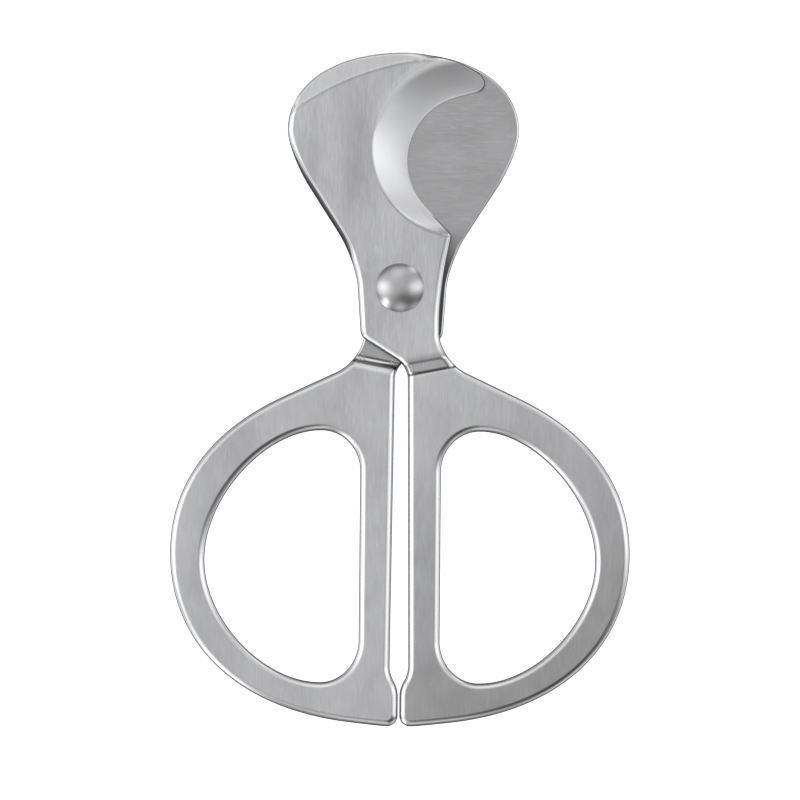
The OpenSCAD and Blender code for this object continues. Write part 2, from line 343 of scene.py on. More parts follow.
@dataclass
class Stamping:
    """One half of the scissors before it is turned: blade, neck, step and finger ring.

    Sizes are in millimetres and degrees.  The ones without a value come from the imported
    model and the rivet.
    """

    head_reach: float
    tail_reach: float
    lobe_half: float
    ring_half: float
    sheet: float
    blade_low: float
    bore_x: float
    bore_r: float
    mouth_r: float = 11.4
    mouth_cover: float = 7.1
    mouth_lap: float = 0.7
    hollow_w: float = 4.0
    hollow_side: float = 2.1
    hollow_up: float = 2.3
    edge_t: float = 0.25
    hollow_curve: float = 1.25
    rim_ease: float = 0.2
    lip_h: float = 0.12
    lip_share: float = 0.09
    bevel_r: float = 47.0
    bevel_x: float = 9.0
    bevel_top: float = 1.0
    bevel_slope: float = 16.0
    bevel_ease: float = 0.15
    neck_outer: float = 7.6
    neck_inner: float = 6.4
    step_reach: float = 12.9
    step_len: float = 2.5
    step_slant: float = 11.0
    fold_share: float = 0.27
    crotch_rise: float = 32.0
    neck_low: float = -12.2
    ring_fall: float = 25.2
    ring_mid_share: float = 0.605
    ring_rise: float = 6.6
    lobe_top: float = 13.5
    band_side: float = 5.9
    band_low: float = 7.4
    hole_reach: float = 24.4
    bar_w: float = 5.8
    slot_half: float = 1.1
    slot_lean: float = 0.5
    heel_half: float = 0.15
    heel_end: float = 3.0
    heel_h: float = 5.2
    spacing: float = 0.3
    wall: float = 0.17
    flank_wall: float = 0.62
    slide_wall: float = 0.1
    shoulder: float = 0.84
    flank_shoulder: float = 0.45
    bevel_shoulder: float = 0.4
    slide_shoulder: float = 0.24
    round_drop: float = 0.70
    thin_drop: float = 0.52
    wall_foot: float = 0.97
    slide_fall: float = 0.04

    mouth: np.ndarray = field(init=False)
    rim: np.ndarray = field(init=False)
    rim_r: float = field(init=False)
    bevel_centre: np.ndarray = field(init=False)
    outer: np.ndarray = field(init=False)
    hole: np.ndarray = field(init=False)
    bore: np.ndarray = field(init=False)
    edge: NearestEdge = field(init=False)
    cut: NearestEdge = field(init=False)

    def __post_init__(self) -> None:
        """Works out the circles, the loops and the sides that distances are taken from.

        edge holds the rounded edges, and cut the sharp ones: the mouth and the bore.
        """
        self.mouth = np.array([self.mouth_r + self.mouth_lap,
                               self.head_reach - self.mouth_cover - self.mouth_r])
        self.rim = self.mouth + np.array([-self.hollow_side, self.hollow_up])
        self.rim_r = self.mouth_r + self.hollow_w
        self.bevel_centre = np.array([self.bevel_x,
                                      self.head_reach - self.bevel_top - self.bevel_r])
        self.outer, on_mouth = self.outer_loop()
        self.hole = self.hole_loop()
        turn = np.linspace(0.0, 2 * math.pi, 73)[:-1]
        self.bore = on_circles(np.array([self.bore_x, 0.0]), self.bore_r, turn)
        following = np.roll(self.outer, -1, axis=0)
        keep = ~(on_mouth & np.roll(on_mouth, -1))
        self.edge = NearestEdge(
            np.concatenate([self.outer[keep], self.hole]),
            np.concatenate([following[keep], np.roll(self.hole, -1, axis=0)]))
        self.cut = NearestEdge(
            np.concatenate([self.outer[~keep], self.bore]),
            np.concatenate([following[~keep], np.roll(self.bore, -1, axis=0)]))

    # -------------------------------------------------------------- outlines

    def tangent_angle(self, point: np.ndarray, side: int) -> float:
        """Direction from the mouth's centre to where a line from point touches it.

        Args:
            point: a point outside the mouth's circle.
            side: 1 for the touch counter-clockwise of the point, -1 for the other.

        Returns:
            The direction in radians.
        """
        away = point - self.mouth
        reach = math.acos(self.mouth_r / float(np.linalg.norm(away)))
        return math.atan2(away[1], away[0]) + side * reach

    def outer_loop(self) -> tuple[np.ndarray, np.ndarray]:
        """The sheet's outer edge, clockwise, from the neck's fillet round to the mouth.

        Returns:
            The closed line's points, and which of them lie on the cutting edge.
        """
        ring_mid = self.ring_mid_share * self.tail_reach
        fall = math.radians(self.ring_fall)
        across = self.ring_half - self.neck_inner
        ring_top = self.neck_low - across * math.tan(fall)
        slot_low = self.slot_half + self.slot_lean
        heel_top = self.heel_h - self.tail_reach
        low_rise = (self.ring_half - self.heel_end) * math.tan(math.radians(self.ring_rise))
        crotch = -(self.step_reach + 0.5)
        neck_corner = 0.6 - self.neck_outer
        rise = math.tan(math.radians(self.crotch_rise))
        lobe_y = self.head_reach - self.lobe_top
        horn_tip = self.mouth + np.array([1.8, self.mouth_r + 3.0])
        horn_side = math.hypot(horn_tip[0] / 2, self.head_reach - horn_tip[1])
        horn_back = self.mouth + np.array([1.7, self.mouth_r + 0.8])
        spur = self.mouth - np.array([3.7, self.mouth_r + 1.4])
        turn = np.linspace(self.tangent_angle(horn_back, 1),
                           self.tangent_angle(spur, -1) + 2 * math.pi, 220)
        arc = on_circles(self.mouth, self.mouth_r, turn)
        corners = [
            Corner(self.neck_inner, self.neck_low, 4.6, 5.2),
            Corner(self.ring_half, ring_top, 0.58 * across / math.cos(fall),
                   ring_mid + ring_top, 0.65),
            Corner(self.ring_half, low_rise - self.tail_reach,
                   self.tail_reach - low_rise - ring_mid, self.ring_half - 8.5, 0.62),
            Corner(self.heel_end, -self.tail_reach, 4.0, 0.9),
            Corner(self.heel_half, -self.tail_reach, 1.8, 1.8),
            Corner(self.heel_half, heel_top + 1.3, 1.3, 1.3),
            Corner(slot_low, heel_top + 3.7, 1.3, 1.3),
            Corner(self.slot_half, crotch, 2.1, 2.1),
            Corner(neck_corner, crotch + (self.slot_half - neck_corner) * rise, 0.9, 1.0),
            Corner(-(self.neck_outer + 0.3), 4.6, 4.6, 5.7),
            Corner(-self.lobe_half, lobe_y - 3.8, 7.0, 3.8),
            Corner(-self.lobe_half, self.head_reach, self.lobe_top, self.lobe_half, 0.6),
            Corner(horn_tip[0] / 2, self.head_reach, horn_tip[0] / 2, 0.72 * horn_side),
            Corner(horn_tip[0], horn_tip[1], 1.6, 1.1),
            Corner(horn_back[0], horn_back[1], 1.0, 1.0),
            Corner(*arc[0]),
            Corner(*arc[-1]),
            Corner(spur[0], spur[1], 0.3, 0.3),
            Corner(self.neck_inner, -0.5, 6.0, 5.0),
        ]
        pieces = self.rounded(corners)
        pieces.insert(1 + corners.index(Corner(*arc[0])), arc[1:-1])
        line = filled_in(np.concatenate(pieces), self.spacing)
        from_mouth = np.hypot(*(line - self.mouth).T)
        first = int(np.argmin(np.hypot(*(line - arc[0]).T)))
        last = int(np.argmin(np.hypot(*(line - arc[-1]).T)))
        order = np.arange(len(line))
        on_mouth = (order >= first) & (order <= last) & (from_mouth < self.mouth_r + 0.01)
        return line, on_mouth

    def rounded(self, corners: Sequence[Corner]) -> list[np.ndarray]:
        """The rounding of each corner of a closed outline.

        Args:
            corners: the outline's corners, in order.

        Returns:
            One array of points for each corner.
        """
        following = [*corners[1:], corners[0]]
        return [corner.curve(corners[i - 1], following[i], self.spacing)
                for i, corner in enumerate(corners)]

    def hole_loop(self) -> np.ndarray:
        """The finger hole's edge: straight beside the bar, round everywhere else.

        Returns:
            The closed line's points, counter-clockwise.
        """
        left = self.slot_half + self.bar_w
        right = self.ring_half - self.band_side
        low = self.band_low - self.tail_reach
        mid_x = left + (right - left) * 0.25
        mid_y = -(self.ring_mid_share * self.tail_reach + 1.3)
        corners = [
            Corner(left, -self.hole_reach, 6.9, mid_x - left, 0.55),
            Corner(right, -self.hole_reach, right - mid_x, -mid_y - self.hole_reach, 0.48),
            Corner(right, low, mid_y - low, right - mid_x, 0.49),
            Corner(left, low, mid_x - left, 7.2, 0.55),
        ]
        return filled_in(np.concatenate(self.rounded(corners)), self.spacing)[::-1]

    # -------------------------------------------------------------- heights

    def along_step(self, p: np.ndarray) -> np.ndarray:
        """Distance up the tool from the step's lower fold, square to the slanted folds.

        Args:
            p: the points, one row each.

        Returns:
            The distance at each point, below 0 on the ring.
        """
        slant = math.radians(self.step_slant)
        start = (self.step_reach + self.step_len) * math.cos(slant)
        return p[:, 1] * math.cos(slant) - p[:, 0] * math.sin(slant) + start

    def middle(self, p: np.ndarray) -> np.ndarray:
        """Height of the sheet's middle: level, a parabola, a slope, a parabola, level.

        Args:
            p: the points, one row each.

        Returns:
            The height at each point.
        """
        v = np.clip(self.along_step(p), 0.0, self.step_len)
        fold = self.step_len * self.fold_share
        top = self.blade_low + self.sheet / 2
        rise = top / (self.step_len - fold)
        low = rise * v * v / (2 * fold)
        high = top - rise * (self.step_len - v) ** 2 / (2 * fold)
        slope = rise * (v - fold / 2)
        return np.where(v < fold, low, np.where(v > self.step_len - fold, high, slope))

    def hollow_share(self, p: np.ndarray) -> np.ndarray:
        """How far in from the hollow's rim, as 0, to the cutting edge, as 1.

        It is the u for which p lies on the circle whose centre and radius go in
        proportion from the rim's to the mouth's, so it solves a quadratic in u.

        Args:
            p: the points, one row each.

        Returns:
            The share at each point.
        """
        shift = self.mouth - self.rim
        q = p - self.rim
        a = float(shift @ shift) - self.hollow_w**2
        b = self.rim_r * self.hollow_w - q @ shift
        c = (q**2).sum(axis=1) - self.rim_r**2
        u = (-b + np.sqrt(np.maximum(b * b - a * c, 0.0))) / a
        return np.clip(u, 0.0, 1.0)

    def beyond_rim(self, p: np.ndarray) -> np.ndarray:
        """Distance outside the circle of the hollow's rim."""
        return np.hypot(*(p - self.rim).T) - self.rim_r

    def low_rim(self, p: np.ndarray) -> np.ndarray:
        """1 beside the lower part of the hollow's rim, 0 beside its upper part."""
        return smooth(9.0, 2.5, p[:, 1] - self.mouth[1])

    def on_lip(self, p: np.ndarray) -> np.ndarray:
        """1 where the hollow's rim has a lip, along its lowest part, 0 elsewhere."""
        return smooth(-3.0, -8.0, p[:, 1] - self.mouth[1])

    def hollow_depth(self, p: np.ndarray) -> np.ndarray:
        """Depth of the hollow: 1 - (1 - e)^curve of the way down, plus a small lip.

        Along the upper half of the rim e sets out as a parabola in the share u and goes
        on as a straight line; elsewhere it is u.  The lip runs along the rim's lowest
        part, and the way down is shorter there by its height.

        Args:
            p: the points, one row each.

        Returns:
            The depth at each point.
        """
        u = self.hollow_share(p)
        lip_h = self.lip_h * self.on_lip(p)
        ease = self.rim_ease * (1.0 - self.low_rim(p))
        eased = np.where(u < ease, u * u / np.maximum(2 * ease, 1e-6), u - ease / 2)
        eased = eased / (1.0 - ease / 2)
        deep = self.sheet - self.edge_t - lip_h
        lip = lip_h * smooth(0.0, self.lip_share, u)
        return deep * (1.0 - (1.0 - eased) ** self.hollow_curve) + lip

    def beyond_bevel(self, p: np.ndarray) -> np.ndarray:
        """Distance past the inner line of the bevel along the top of the head.

        Args:
            p: the points, one row each.

        Returns:
            The distance at each point, below 0 inside the line.
        """
        off = p - self.bevel_centre
        return np.where(off[:, 1] > 0, np.hypot(*off.T) - self.bevel_r, -1.0)

    def bevel_depth(self, p: np.ndarray) -> np.ndarray:
        """Depth of the bevel: a parabola past its line, then a straight slope.

        Args:
            p: the points, one row each.

        Returns:
            The depth at each point.
        """
        past = np.maximum(self.beyond_bevel(p), 0.0)
        ease = self.bevel_ease
        eased = np.where(past < ease, past * past / (2 * ease), past - ease / 2)
        return eased * math.tan(math.radians(self.bevel_slope))

    def stepped(self, p: np.ndarray) -> np.ndarray:
        """1 on the step and its folds, 0 half a millimetre away from them."""
        v = self.along_step(p)
        return smooth(-0.5, -0.1, v) * smooth(self.step_len + 0.5, self.step_len + 0.1, v)

    def on_blade(self, p: np.ndarray) -> np.ndarray:
        """1 on the blade and neck, 0 on the ring, changing over the step."""
        return smooth(0.0, self.step_len, self.along_step(p))

    def on_flank(self, p: np.ndarray) -> np.ndarray:
        """1 along the lobe's long straight flank, 0 elsewhere."""
        ends = smooth(3.6, 8.0, p[:, 1]) * smooth(25.5, 17.0, p[:, 1])
        return ends * smooth(-4.0, -6.5, p[:, 0])

    def painted_neck_shade(self, p: np.ndarray) -> np.ndarray:
        """Painted shade: 1 on the strip of the sliding face along the neck's outer edge,
        0 elsewhere.

        Args:
            p: the points, one row each.

        Returns:
            The mark at each point.
        """
        ends = smooth(-self.step_reach - 1.0, -self.step_reach + 1.5, p[:, 1])
        upper = smooth(12.0, 2.0, p[:, 1])
        return ends * upper * smooth(-5.2, -6.2, p[:, 0])

    def on_horn(self, p: np.ndarray) -> np.ndarray:
        """1 on the horn above the mouth, 0 elsewhere."""
        x, y = (p - self.mouth).T
        return smooth(-8.0, -5.0, x) * smooth(self.mouth_r - 2.0, self.mouth_r - 0.5, y)

    def outer_painted_lines(self, p: np.ndarray) -> np.ndarray:
        """Painted highlight lines and painted shade lines on the outer skin.

        They are along the step's folds, the hollow's lowest rim and the bevel's inner
        line, and each is the product of a rise and a fall across it.

        Args:
            p: the points, one row each.

        Returns:
            The mark at each point: painted highlight above 0, painted shade below it.
        """
        v = self.along_step(p)
        crease = band(v, 0.0, 0.12, 0.35, 0.55)
        line = band(v, -0.35, -0.2, -0.08, 0.05)
        upper = band(v, 1.8, 2.3, 2.4, 3.5)
        out = self.beyond_rim(p)
        lip = band(out, -0.5, -0.35, -0.15, -0.05)
        beside = band(out, -0.05, 0.02, 0.1, 0.4)
        past = self.beyond_bevel(p)
        bright = band(past, -0.02, 0.05, 0.2, 0.5)
        shade = band(past, -0.6, -0.1, -0.05, 0.03)
        folds = 0.5 * line - 0.9 * crease - 0.36 * upper
        rim = (0.95 * lip - 0.4 * beside) * self.on_lip(p)
        return folds + rim + (0.35 * bright - 0.28 * shade) * (self.hollow_share(p) == 0.0)

    def inner_painted_lines(self, p: np.ndarray) -> np.ndarray:
        """Painted highlight and shade lines along the folds of the sliding skin.

        Args:
            p: the points, one row each.

        Returns:
            The mark at each point: painted highlight above 0, painted shade below it.
        """
        v = self.along_step(p)
        crease = band(v, 2.2, 2.3, 2.5, 2.7)
        line = band(v, 1.85, 1.95, 2.1, 2.2)
        strip = band(v, 1.0, 1.25, 1.75, 1.85)
        low = band(v, 0.0, 0.4, 0.9, 1.1)
        return line + 0.5 * low - 0.85 * crease - 0.9 * strip

    @staticmethod
    def shaded(facing: np.ndarray, distance: np.ndarray, edge: EdgeShape) -> np.ndarray:
        """A painted shade line along the shoulder's top, where the edge faces one way.

        Args:
            facing: cosine between the edge's own direction and that way.
            distance: distance in from the sheet's edge.
            edge: the edge's shape.

        Returns:
            How dark the line is, from 0 to 1.
        """
        line = band((distance - edge.wall) / edge.shoulder, 0.42, 0.58, 0.95, 1.1)
        return 0.75 * line * smooth(0.55, 0.97, facing)

    def darker_strip(self, p: np.ndarray) -> np.ndarray:
        """1 on a soft strip of the lobe beside the hollow, 0 away from it."""
        ends = smooth(8.0, 18.0, p[:, 1]) * smooth(36.0, 27.0, p[:, 1])
        return ends * np.exp(-((p[:, 0] + 7.8) / 2.6) ** 2)

    def on_rim(self, p: np.ndarray) -> np.ndarray:
        """1 on a band along the upper half of the hollow's rim, 0 away from it."""
        return band(self.beyond_rim(p), -1.1, -0.4, 0.1, 1.1) * (1.0 - self.low_rim(p))

    def outer_edge(self, p: np.ndarray) -> EdgeShape:
        """The edge's shape on the outer skin.

        The lobe's flank has a wide wall and a tight shoulder, and the bevel and the horn
        have a thin edge.

        Args:
            p: the points, one row each.

        Returns:
            The edge's shape at each point.
        """
        flank = self.on_flank(p)
        thin = np.maximum(smooth(0.0, 1.6, self.beyond_bevel(p)), self.on_horn(p))
        drop = (self.round_drop - self.thin_drop * thin) * self.sheet / 2
        fall = self.wall_foot * self.sheet / 2 - drop * FULL_TURN
        return EdgeShape(
            self.wall + (self.flank_wall - self.wall) * flank,
            self.shoulder + (self.flank_shoulder - self.shoulder) * flank
            + (self.bevel_shoulder - self.shoulder) * thin,
            drop, fall * (1.0 - 0.95 * thin))

    def inner_edge(self, p: np.ndarray) -> EdgeShape:
        """The edge's shape on the skin that slides.

        It is like the outer skin's on the ring, and a light break on the blade.

        Args:
            p: the points, one row each.

        Returns:
            The edge's shape at each point.
        """
        blade = self.on_blade(p)
        drop = (self.round_drop - self.thin_drop * blade) * self.sheet / 2
        fall = self.wall_foot * self.sheet / 2 - drop * FULL_TURN
        return EdgeShape(
            self.wall + (self.slide_wall - self.wall) * blade,
            self.shoulder + (self.slide_shoulder - self.shoulder) * blade,
            drop, fall * (1.0 - blade) + self.slide_fall * blade)

    def outer_skin(self, p: np.ndarray, distance: np.ndarray) -> np.ndarray:
        """Height of the outer skin: the face, less the deepest cut at each point.

        Args:
            p: the points, one row each.
            distance: each point's distance in from the sheet's edge.

        Returns:
            The height at each point.
        """
        cuts = self.outer_edge(p).depth(distance) + self.bevel_depth(p)
        floor = self.sheet - 0.5 * self.edge_t
        depth = np.minimum(np.maximum(cuts, self.hollow_depth(p)), floor)
        return self.middle(p) + self.sheet / 2 - depth

    def inner_skin(self, p: np.ndarray, distance: np.ndarray) -> np.ndarray:
        """Height of the sliding skin: its face, with the edge broken except at the mouth.

        Args:
            p: the points, one row each.
            distance: each point's distance in from the sheet's edge.

        Returns:
            The height at each point.
        """
        cuts = np.minimum(self.inner_edge(p).depth(distance), self.sheet / 2)
        near_mouth = smooth(0.55, 0.95, self.hollow_share(p))
        return self.middle(p) - self.sheet / 2 + cuts * (1.0 - near_mouth)

    # -------------------------------------------------------------- the net

    def net_points(self) -> tuple[np.ndarray, list[np.ndarray]]:
        """Points of the net: the loops, then lines beside every edge and crease.

        Returns:
            The points, loops first, and the three loops that bound the sheet.
        """
        loops = [self.outer, self.hole, self.bore]
        turns = np.radians(np.linspace(76.0, 0.0, 9))
        steps = 1.0 - np.sin(turns) / math.sin(turns[0])
        rings = []
        for loop in loops[:2]:
            normals = inward_normals(loop)
            edge = self.outer_edge(loop)
            offsets = [edge.wall * 0.5, edge.wall]
            offsets += [edge.wall + edge.shoulder * s for s in steps[1:]]
            offsets += [edge.wall + edge.shoulder + 0.12, edge.wall + edge.shoulder + 0.4]
            inner = self.inner_edge(loop)
            offsets += [inner.wall + inner.shoulder * s for s in (0.35, 0.7)]
            for offset in offsets:
                moved = loop + normals * offset[:, None]
                distance, _ = self.edge.read(moved)
                cut, _ = self.cut.read(moved)
                good = (np.abs(distance - offset) < 0.02) & (cut > 0.1)
                rings.append(moved[good])
        near = np.concatenate(rings)
        extra = np.concatenate([self.flat_points(), self.step_points(),
                                self.hollow_points(), self.bevel_points()])
        distance, _ = self.edge.read(extra)
        cut, _ = self.cut.read(extra)
        edge = self.outer_edge(extra)
        extra = extra[(distance > edge.wall + edge.shoulder + 0.5) & (cut > 0.08)]
        free = np.concatenate([near, extra])
        return np.concatenate(loops + [free[inside(free, loops)]]), loops

    def flat_points(self, pitch: float = 0.7) -> np.ndarray:
        """A square grid over the level faces, left out where a shape has its own lines.

        Args:
            pitch: the grid's spacing.

        Returns:
            The points, one row each.
        """
        x = np.arange(-self.lobe_half, self.ring_half, pitch)
        y = np.arange(-self.tail_reach, self.head_reach, pitch)
        grid = np.stack(np.meshgrid(x, y), axis=-1).reshape(-1, 2)
        v = self.along_step(grid)
        level = (v < -0.5) | (v > self.step_len + 0.5)
        plain = (self.hollow_share(grid) == 0.0) & (np.abs(self.beyond_bevel(grid)) > 0.5)
        return grid[level & plain]

    def step_points(self) -> np.ndarray:
        """Rows along the step's folds, a tenth of a millimetre apart.

        Returns:
            The points, one row each.
        """
        slant = math.radians(self.step_slant)
        v = np.arange(-0.3, self.step_len + 0.31, 0.1)
        u = np.arange(-self.neck_outer, 16.0, 0.4)
        u, v = (a.ravel() for a in np.meshgrid(u, v))
        v = v - (self.step_reach + self.step_len) * math.cos(slant)
        return np.stack([u * math.cos(slant) - v * math.sin(slant),
                         u * math.sin(slant) + v * math.cos(slant)], axis=1)

    def hollow_points(self) -> np.ndarray:
        """Circles of the hollow from just outside its rim to the cutting edge.

        Those at share u have the centre and the radius that hollow_share gives for u.

        Returns:
            The points, one row each.
        """
        share = np.concatenate([np.arange(-0.28, -0.1, 0.04), np.arange(-0.1, 0.13, 0.012),
                                np.linspace(0.15, 0.99, 21)])
        turn = np.linspace(0.0, 2 * math.pi, 361)[:-1]
        share, turn = (a.ravel() for a in np.meshgrid(share, turn))
        centre = self.rim + share[:, None] * (self.mouth - self.rim)
        return on_circles(centre, self.rim_r - share * self.hollow_w, turn)

    def bevel_points(self) -> np.ndarray:
        """Arcs on both sides of the bevel's inner line and across the bevel.

        Returns:
            The points, one row each.
        """
        past = np.concatenate([np.arange(-0.6, 0.6, 0.07), [0.8, 1.3, 2.0, 2.8]])
        radius = self.bevel_r + past
        turn = np.radians(np.linspace(80.0, 140.0, 240))
        radius, turn = (a.ravel() for a in np.meshgrid(radius, turn))
        return on_circles(self.bevel_centre, radius, turn)

    def build(self, name: str) -> bpy.types.Object:
        """Makes the stamping's closed mesh in its own frame, in metres.

        Both skins share the net's triangles.  A band of quads along each loop joins
        them.  Normals come from each skin's slope, worked out by central differences.

        Args:
            name: the object's name.

        Returns:
            The object, linked to the scene.
        """
        points, loops = self.net_points()
        ends = np.cumsum([len(loop) for loop in loops])
        orders = np.split(np.arange(ends[-1]), ends[:-1])
        bounds = np.concatenate([np.stack([order, np.roll(order, -1)], axis=1)
                                 for order in orders])
        points, rim, triangles = self.triangulated(points, bounds)
        count = len(points)
        into = np.zeros((count, 2))
        into[rim] = np.concatenate([inward_normals(loop) for loop in loops])
        distance, grows = self.edge_field(points, into)
        outer, inner = (self.surface(skin, points, distance, grows)
                        for skin in (self.outer_skin, self.inner_skin))
        verts = np.concatenate([np.column_stack([points, z]) for z, _ in (outer, inner)])
        under = triangles[:, ::-1]
        a, b = lone_sides(triangles, count)
        quads = np.stack([a, a + count, b + count, b], axis=1)
        mesh = mesh_of(name, verts * MM, [triangles, under + count, quads])
        outward = level_normals(points, a, b)
        mesh.normals_split_custom_set(np.concatenate([
            outer[1][triangles].reshape(-1, 3), -inner[1][under].reshape(-1, 3),
            outward[np.stack([a, a, b, b], axis=1)].reshape(-1, 3)]))
        for zone, values in self.zones(points, distance, grows).items():
            attribute = mesh.attributes.new(zone.value, "FLOAT", "POINT")
            attribute.data.foreach_set("value", values.astype(np.float32))
        return linked(name, mesh)

    def triangulated(self, points: np.ndarray, bounds: np.ndarray
                     ) -> tuple[np.ndarray, np.ndarray, np.ndarray]:
        """The net's triangles inside the sheet, each turned to face up.

        Args:
            points: all the net's points.
            bounds: pairs of points that bound the sheet.

        Returns:
            The points as the triangulation left them, where each pair's first point now
            stands, and the triangles.
        """
        found = delaunay_2d_cdt(points.tolist(), bounds.tolist(), [], 0, 1e-5, True)
        out = np.array([tuple(v) for v in found[0]])
        origin = np.full(len(points), -1)
        for new, olds in enumerate(found[3]):
            origin[olds] = new
        triangles = np.array(found[2])
        kept = inside(out[triangles].mean(axis=1), [self.outer, self.hole, self.bore])
        triangles = triangles[kept]
        one, two, three = (out[triangles[:, i]] for i in range(3))
        u, v = two - one, three - one
        area = u[:, 0] * v[:, 1] - u[:, 1] * v[:, 0]
        triangles[area < 0] = triangles[area < 0][:, ::-1]
        used = np.unique(triangles)
        place = np.full(len(out), -1)
        place[used] = np.arange(len(used))
        return out[used], place[origin[bounds[:, 0]]], place[triangles]

    def edge_field(self, p: np.ndarray, into: np.ndarray
                   ) -> tuple[np.ndarray, np.ndarray]:
        """Each point's distance in from the sheet's edge, and the way it grows.

        Args:
            p: the net's points.
            into: for a point of a loop, the level direction into the sheet.

        Returns:
            The distances, 0 upon the edge itself, and the unit directions.
        """
        distance, grows = self.edge.read(p)
        distance = np.where(distance < 1e-3, 0.0, distance)
        upon = distance == 0.0
        grows[upon] = into[upon]
        return distance, grows

    @staticmethod
    def surface(skin: Skin, p: np.ndarray, distance: np.ndarray, grows: np.ndarray,
                h: float = 0.01) -> tuple[np.ndarray, np.ndarray]:
        """One skin's heights, and its normals by central differences.

        Upon the edge a difference is taken towards the sheet only.

        Args:
            skin: the skin's height as a function of the points and their distances.
            p: the net's points.
            distance: each point's distance in from the sheet's edge.
            grows: the direction in which that distance grows.
            h: the step of the differences.

        Returns:
            The heights, and the upward unit normals.
        """
        base = skin(p, distance)
        slope = []
        for axis in (0, 1):
            step = h * np.eye(2)[axis]
            more = grows[:, axis] * h
            ahead = skin(p + step, np.maximum(distance + more, 0.0))
            back = skin(p - step, np.maximum(distance - more, 0.0))
            one_way = np.where(more > 0, ahead - base, base - back) / h
            slope.append(np.where(distance == 0.0, one_way, (ahead - back) / (2 * h)))
        normal = np.stack([-slope[0], -slope[1], np.ones(len(p))], axis=1)
        return base, normal / np.linalg.norm(normal, axis=1)[:, None]

    def zones(self, p: np.ndarray, distance: np.ndarray, grows: np.ndarray
              ) -> dict[Zone, np.ndarray]:
        """How far each point of either skin belongs to each zone.

        Args:
            p: the net's points.
            distance: each point's distance in from the sheet's edge.
            grows: the direction in which that distance grows.

        Returns:
            The zones, each with the outer skin's values and then the sliding skin's.
        """
        outer, inner = self.outer_edge(p), self.inner_edge(p)
        share, past = self.hollow_share(p), self.beyond_bevel(p)
        blade, horn, none = self.on_blade(p), self.on_horn(p), np.zeros(len(p))
        # Painted highlight along the horn's edge.
        horn_highlight = horn * band(distance, 0.08, 0.16, 0.35, 0.5) * (share < 0.97)
        # Painted shade lines along the top of the shoulder, where the edge faces one way.
        outer_shade = (self.shaded(grows @ [-0.71, 0.71], distance, outer)
                       * smooth(0.1, 0.0, share) * (1.0 - horn))
        inner_shade = (self.shaded(grows @ [0.71, 0.71], distance, inner)
                       * (1.0 - blade))
        pairs = {
            # The wall, which the finish paints dark as painted shade.
            Zone.WALL: (outer.wall_mark(distance) * (share < 0.9)
                        * smooth(0.9, 0.2, past), inner.wall_mark(distance)),
            Zone.SHOULDER: (outer.shoulder_mark(distance), inner.shoulder_mark(distance)),
            Zone.DISH: (smooth(0.0, 0.06, share), none),
            Zone.BEVEL: (smooth(0.0, 0.3, past), none),
            Zone.SLIDE: (none, blade),
            Zone.RING: (1.0 - blade, 1.0 - blade),
            Zone.STEP: (self.stepped(p), self.stepped(p)),
            Zone.FLANK: (self.on_flank(p), none),
            # Painted shade on the sliding face beside the neck.
            Zone.NECK_SHADE: (none, self.painted_neck_shade(p)),
            # Painted highlights and painted shade lines.
            Zone.PAINTED_LINES: (self.outer_painted_lines(p) + horn_highlight - outer_shade,
                           self.inner_painted_lines(p) - inner_shade),
            Zone.DARK_STRIP: (self.darker_strip(p), none),
            Zone.RIM: (self.on_rim(p), none),
        }
        return {zone: np.concatenate(pair) for zone, pair in pairs.items()}


def lone_sides(triangles: np.ndarray, count: int) -> tuple[np.ndarray, np.ndarray]:
    """Both ends of each side that only one triangle has, in that triangle's order.

    Args:
        triangles: the places of each triangle's corners.
        count: how many points there are.

    Returns:
        The places of the sides' first points, and of their second points.
    """
    pairs = np.concatenate([triangles[:, [0, 1]], triangles[:, [1, 2]],
                            triangles[:, [2, 0]]])
    key = pairs[:, 0] * count + pairs[:, 1]
    back = pairs[:, 1] * count + pairs[:, 0]
    lone = ~np.isin(key, back)
    return pairs[lone, 0], pairs[lone, 1]


def level_normals(points: np.ndarray, a: np.ndarray, b: np.ndarray) -> np.ndarray:
    """Level normals at the loops' points, the mean of the two sides that meet there.

    Args:
        points: the net's points.
        a: the place of each side's first point.
        b: the place of its second point, with the sheet on the side's left.

    Returns:
        A unit vector out of the sheet for each point of a loop, and zero elsewhere.
    """
    run = points[b] - points[a]
    run /= np.maximum(np.linalg.norm(run, axis=1), TINY)[:, None]
    outward = np.stack([run[:, 1], -run[:, 0], np.zeros(len(run))], axis=1)
    total = np.zeros((len(points), 3))
    np.add.at(total, a, outward)
    np.add.at(total, b, outward)
    return total / np.maximum(np.linalg.norm(total, axis=1), TINY)[:, None]


def mesh_of(name: str, verts: np.ndarray, faces: Sequence[np.ndarray]) -> bpy.types.Mesh:
    """A smooth-shaded mesh from whole arrays.

    Args:
        name: the mesh's name.
        verts: points in metres, one row each.
        faces: arrays of faces, each array with one number of corners.

    Returns:
        The mesh.
    """
    mesh = bpy.data.meshes.new(name)
    corners = np.concatenate([f.ravel() for f in faces]).astype(np.int32)
    sizes = np.concatenate([np.full(len(f), f.shape[1]) for f in faces]).astype(np.int32)
    mesh.vertices.add(len(verts))
    mesh.vertices.foreach_set("co", verts.astype(np.float32).ravel())
    mesh.loops.add(len(corners))
    mesh.loops.foreach_set("vertex_index", corners)
    mesh.polygons.add(len(sizes))
    mesh.polygons.foreach_set("loop_start", np.cumsum(sizes) - sizes)
    mesh.polygons.foreach_set("use_smooth", np.ones(len(sizes), bool))
    mesh.update(calc_edges=True)
    mesh.validate()
    return mesh


def linked(name: str, mesh: bpy.types.Mesh) -> bpy.types.Object:
    """An object for the mesh, in the scene, at the origin.

    Args:
        name: the object's name.
        mesh: its mesh.

    Returns:
        The object.
    """
    made = bpy.data.objects.new(name, mesh)
    bpy.context.scene.collection.objects.link(made)
    return made


